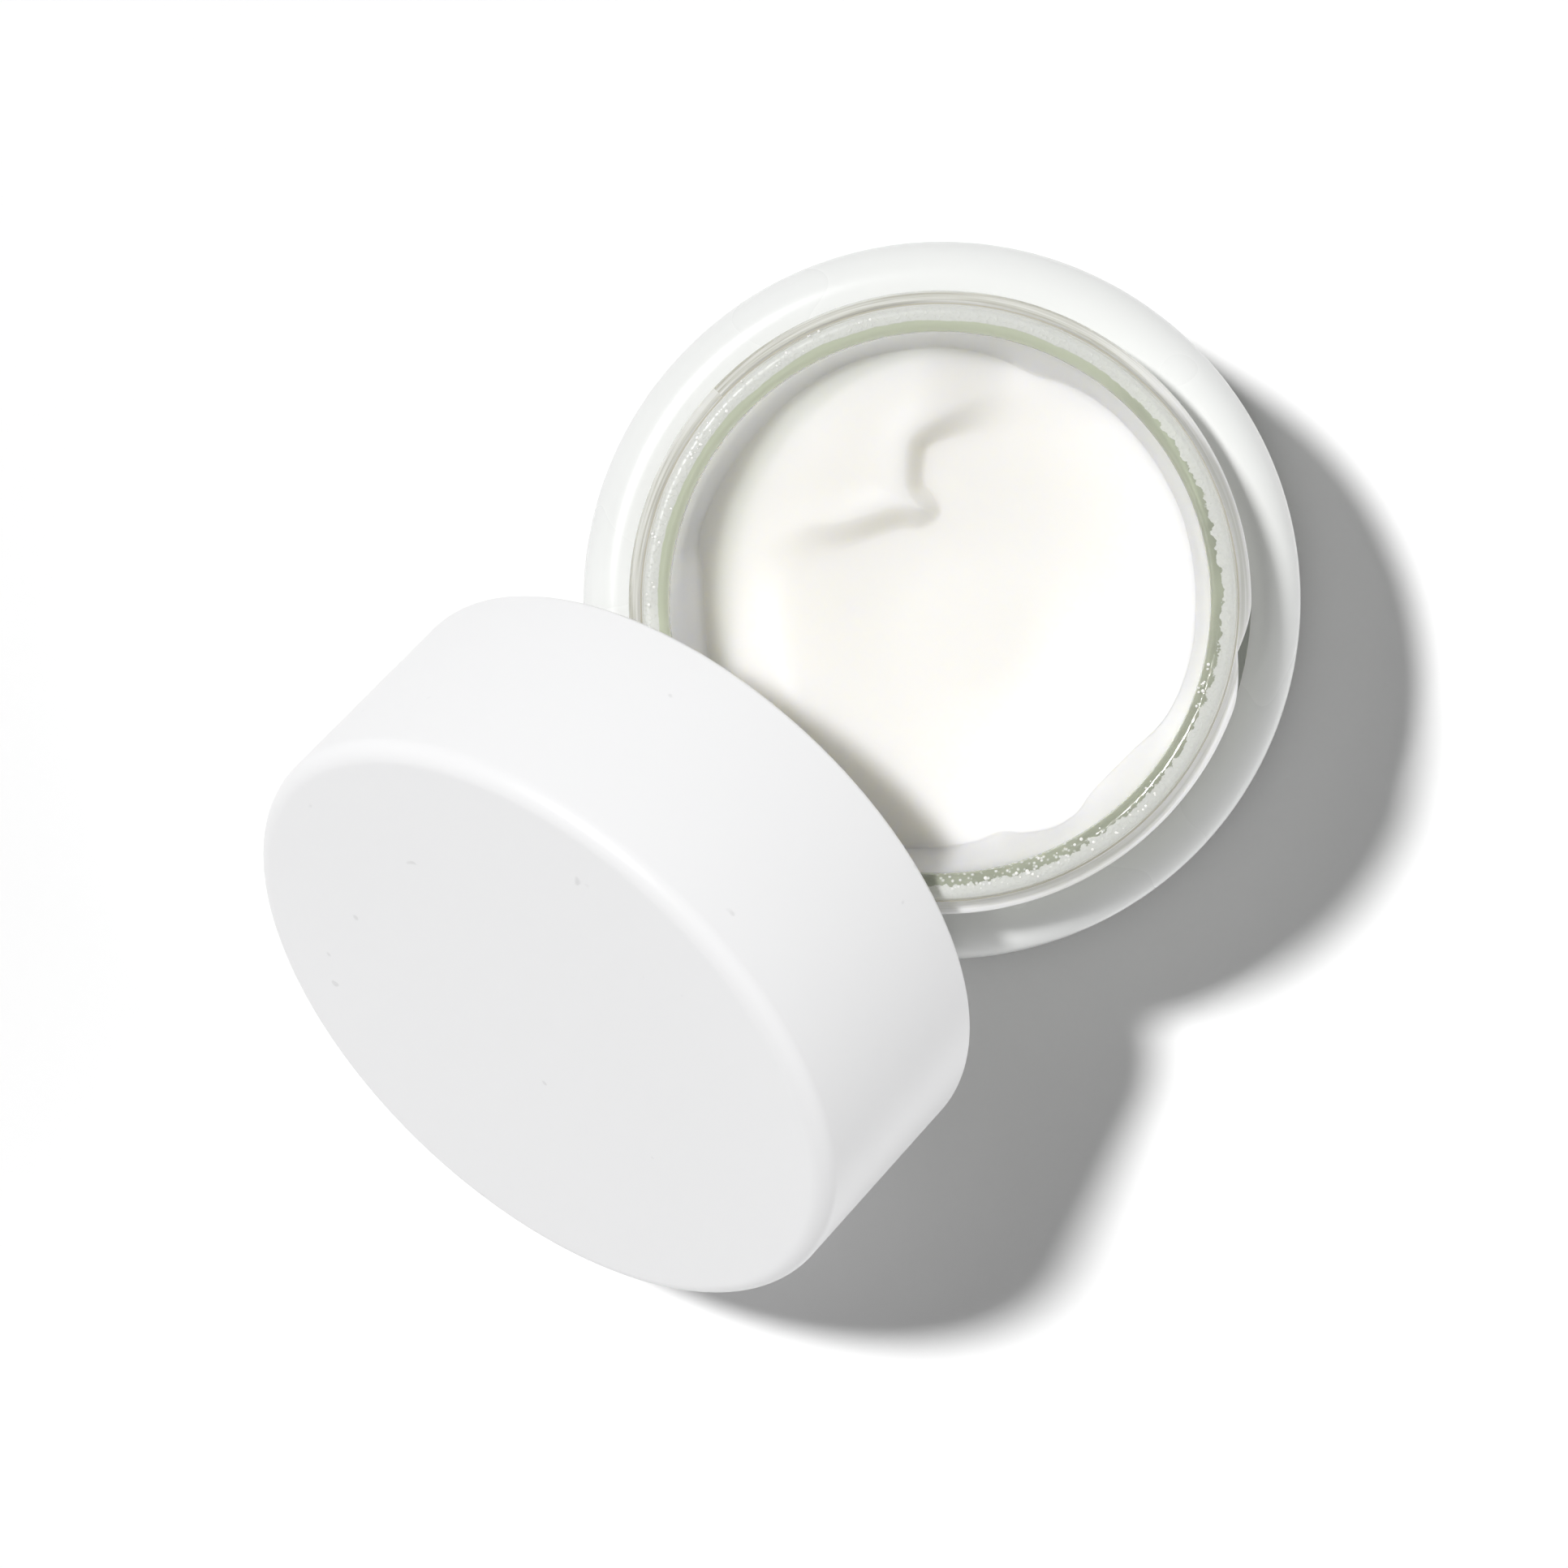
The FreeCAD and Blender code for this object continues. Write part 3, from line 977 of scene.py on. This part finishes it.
class CREAMJAR_OT_droplets(bpy.types.Operator):
    """Droplets of cream on the glass rim"""

    bl_idname = "creamjar.droplets"
    bl_label = "Droplets"

    def execute(self, context):
        settings = context.scene.cream_settings
        size = SIZES
        material = droplet_material(settings)
        group = droplet_tree()
        width = size.neck_radius - size.mouth_radius
        mesh = bpy.data.meshes.new("cream_droplets")
        piece = bpy.data.objects.new("cream_droplets", mesh)
        bpy.context.collection.objects.link(piece)
        gathered = bmesh.new()
        for i, (first, last, inner, outer, count) in enumerate(CLUSTERS):
            cluster = bpy.data.objects.new("cluster", bpy.data.meshes.new("cluster"))
            bpy.context.collection.objects.link(cluster)
            baked(cluster, group, {
                "Count": count,
                "Seed": settings.seed + i,
                "Inner radius": (size.mouth_radius + width * inner) * MM,
                "Outer radius": (size.mouth_radius + width * outer) * MM,
                "Height": (size.jar_height - 0.03) * MM,
                "First angle": math.radians(first) + PICTURE_TURN,
                "Last angle": math.radians(last) + PICTURE_TURN,
                "Largest": settings.droplet,
                "Material": material,
            })
            gathered.from_mesh(cluster.data)
            bpy.data.objects.remove(cluster)
        gathered.to_mesh(mesh)
        gathered.free()
        mesh.shade_smooth()
        dress(piece, None, "jar", material)
        return {"FINISHED"}


# Cap

class CREAMJAR_OT_cap_shell(bpy.types.Operator):
    """Outer shell of the cap"""

    bl_idname = "creamjar.cap_shell"
    bl_label = "Cap Shell"

    def execute(self, context):
        settings = context.scene.cap_settings
        size = SIZES
        seat = size.flange_radius + 0.05
        points = rounded([
            (0, size.cap_ceiling, 0),
            (size.cap_inside, size.cap_ceiling, 1.2),
            (size.cap_inside, size.flange_foot + 1.35, 0),
            (seat, size.flange_foot + 1.35, 0),
            (seat, 0, 0.15),
            (size.cap_radius, 0, 0.5),
            (size.cap_radius, size.cap_height, 1.7),
            (0, size.cap_height, 0),
        ], 12)
        piece = lathe("cap_outer", points, CAP, context.scene.jar_settings.segments)
        material = plastic_material("Cap plastic", settings.shell_colour, 0.3)
        dress(piece, "cap_shell", "cap", material)
        return {"FINISHED"}


class CREAMJAR_OT_cap_inner(bpy.types.Operator):
    """Threaded inner cap"""

    bl_idname = "creamjar.cap_inner"
    bl_label = "Inner Cap"

    def execute(self, context):
        settings = context.scene.cap_settings
        jar = context.scene.jar_settings
        size = SIZES
        bore = size.bore_radius
        skirt = bore + 1.1
        bead = size.disc_foot - 0.12
        flange_top = size.flange_foot + 1.3
        points = rounded([
            (0, size.plate_foot, 0),
            (bore, size.plate_foot, 0),
            (bore, bead, 0),
            (bore - 0.5, bead - 0.5, 0.2),
            (bore, bead - 1.0, 0),
            (bore, size.flange_foot, 0.4),
            (size.flange_radius, size.flange_foot, 0.1),
            (size.flange_radius, flange_top, 0),
            (skirt, flange_top, 0),
            (skirt, size.plate_top, 0.5),
            (0, size.plate_top, 0),
        ], 6)
        points = divided(points, (bore, 0), (bore, bead - 0.9), 48)
        piece = lathe("cap_thread", points, CAP, jar.segments)
        material = plastic_material("Inner cap plastic", settings.inner_colour, 0.35)
        values = {
            "Wall radius": bore * MM,
            "Height": -0.85 * MM,
            "Width": 2.2 * MM,
            "Pitch": jar.thread_pitch,
            "Turns": jar.thread_turns,
            "Lowest": 1.6 * MM,
            "Start angle": 0.0,
            "Material": material,
        }
        threaded(piece, CAP, values)
        dress(piece, "cap_inner", "cap", material)
        return {"FINISHED"}


class CREAMJAR_OT_sealing_disc(bpy.types.Operator):
    """Foam disc with the ring that the glass has pressed into it"""

    bl_idname = "creamjar.sealing_disc"
    bl_label = "Sealing Disc"

    def execute(self, context):
        size = SIZES
        inner = size.mouth_radius + 0.3
        outer = size.neck_radius - 0.3
        pressed = size.disc_foot + 0.15
        points = rounded([
            (0, size.disc_foot, 0),
            (inner, size.disc_foot, 0.3),
            (inner + 0.3, pressed, 0.3),
            (outer - 0.3, pressed, 0.3),
            (outer, size.disc_foot, 0.3),
            (size.disc_radius, size.disc_foot, 0.2),
            (size.disc_radius, size.disc_top, 0.2),
            (0, size.disc_top, 0),
        ], 5)
        piece = lathe("foam_disc", points, CAP, context.scene.jar_settings.segments)
        material = foam_material(context.scene.cap_settings)
        dress(piece, "sealing_disc", "seal", material)
        return {"FINISHED"}


# Stage

def seen_rays(tree):
    """1 for rays that show the background: to the camera, off gloss and through glass."""
    camera, gloss, glass = [tree.add("ShaderNodeLightPath", None, None, name)
                            for name in ("Is Camera Ray", "Is Glossy Ray", "Is Transmission Ray")]
    return tree.maths("MINIMUM", camera + gloss + glass, 1.0)


def floor_material():
    """White floor that keeps the jar's shadow and shows white in glass."""
    finish = Finish("Floor")
    tone = finish.mix(seen_rays(finish), (0.9, 0.9, 0.9, 1), (1, 1, 1, 1))
    return finish.output(finish.add("ShaderNodeBsdfDiffuse", None, {"Color": tone}))


class CREAMJAR_OT_stage(bpy.types.Operator):
    """Floor, lamps and camera"""

    bl_idname = "creamjar.stage"
    bl_label = "Stage"

    def execute(self, context):
        settings = context.scene.stage_settings
        self.floor()
        self.lamps(settings)
        self.camera(context)
        context.scene.view_settings.view_transform = "Standard"
        return {"FINISHED"}

    def floor(self):
        half = 3.0
        mesh = bpy.data.meshes.new("floor")
        corners = [(-half, -half, 0), (half, -half, 0), (half, half, 0), (-half, half, 0)]
        mesh.from_pydata(corners, [], [(0, 1, 2, 3)])
        mesh.materials.append(floor_material())
        floor = bpy.data.objects.new("floor", mesh)
        bpy.context.collection.objects.link(floor)

    def lamps(self, settings):
        sun = bpy.data.lights.new("key", "SUN")
        sun.energy = settings.sun_strength
        sun.angle = settings.sun_width
        lamp = bpy.data.objects.new("key", sun)
        bpy.context.collection.objects.link(lamp)
        heading = math.radians(10)
        fall = math.atan(0.5)
        travel = Vector((
            math.sin(fall) * math.cos(heading),
            math.sin(fall) * math.sin(heading),
            -math.cos(fall),
        ))
        lamp.rotation_euler = travel.to_track_quat("-Z", "Y").to_euler()
        world = bpy.data.worlds.new("sky")
        world.use_nodes = True
        sky = Tree(world.node_tree)
        towards = sky.add("ShaderNodeTexCoord", None, None, "Object")
        lit = self.softbox(sky, towards, 50) * settings.right_strength
        lit = lit + self.softbox(sky, towards, 330) * settings.near_strength
        lit = lit + settings.sky_strength
        shown = seen_rays(sky)
        light = sky.add("ShaderNodeBackground", None, {
            "Color": (1, 1, 1, 1), "Strength": lit * (1 - shown) + shown
        })
        sky.add("ShaderNodeOutputWorld", None, {"Surface": light})
        bpy.context.scene.world = world

    def softbox(self, sky, towards, heading):
        """Share of a wide lamp that stands low in one direction, given in degrees."""
        rise = math.radians(4)
        turn = math.radians(heading)
        facing = (math.cos(turn) * math.cos(rise), math.sin(turn) * math.cos(rise), math.sin(rise))
        near = sky.add("ShaderNodeVectorMath", {"operation": "DOT_PRODUCT"},
                       {0: towards, 1: facing}, "Value")
        return sky.maths("POWER", sky.maths("MAXIMUM", near, 0.0), 8.0)

    def camera(self, context):
        """The photograph's view: nearly straight down, turned about its own axis."""
        place = Vector((0.70, 10.29, 658.0)) * MM
        target = Vector((0.99, -21.94, 0)) * MM
        picture_up = Vector((-math.sin(PICTURE_TURN), math.cos(PICTURE_TURN), 0))
        back = (place - target).normalized()
        side = picture_up.cross(back).normalized()
        upward = back.cross(side)
        data = bpy.data.cameras.new("camera")
        data.lens = 169.8
        data.sensor_width = 36
        data.clip_end = 20
        camera = bpy.data.objects.new("camera", data)
        camera.matrix_world = Matrix.Translation(place) @ Matrix(
            (side, upward, back)).transposed().to_4x4()
        bpy.context.collection.objects.link(camera)
        context.scene.camera = camera


# Sidebar and registration

PIECES = (
    CREAMJAR_OT_glass,
    CREAMJAR_OT_coat,
    CREAMJAR_OT_cream,
    CREAMJAR_OT_droplets,
    CREAMJAR_OT_cap_shell,
    CREAMJAR_OT_cap_inner,
    CREAMJAR_OT_sealing_disc,
    CREAMJAR_OT_stage,
)
SETTINGS = {
    "jar_settings": JarSettings,
    "cream_settings": CreamSettings,
    "cap_settings": CapSettings,
    "stage_settings": StageSettings,
}


class CREAMJAR_PT_panel(bpy.types.Panel):
    """Sizes, colours and pieces of the cream jar"""

    bl_idname = "CREAMJAR_PT_panel"
    bl_label = "Cream Jar"
    bl_space_type = "VIEW_3D"
    bl_region_type = "UI"
    bl_category = "Cream Jar"

    def draw(self, context):
        for name, group in SETTINGS.items():
            box = self.layout.box()
            for setting in group.__annotations__:
                box.prop(getattr(context.scene, name), setting)
        for operator in PIECES:
            self.layout.operator(operator.bl_idname)


def register():
    for cls in (*SETTINGS.values(), *PIECES, CREAMJAR_PT_panel):
        bpy.utils.register_class(cls)
    for name, group in SETTINGS.items():
        setattr(bpy.types.Scene, name, bpy.props.PointerProperty(type=group))


def unregister():
    for name in SETTINGS:
        delattr(bpy.types.Scene, name)
    for cls in (CREAMJAR_PT_panel, *reversed(PIECES), *reversed(SETTINGS.values())):
        bpy.utils.unregister_class(cls)


def main():
    register()
    bpy.ops.creamjar.glass()
    bpy.ops.creamjar.coat()
    bpy.ops.creamjar.cream()
    bpy.ops.creamjar.droplets()
    bpy.ops.creamjar.cap_shell()
    bpy.ops.creamjar.cap_inner()
    bpy.ops.creamjar.sealing_disc()
    bpy.ops.creamjar.stage()


if __name__ == "__main__":
    main()
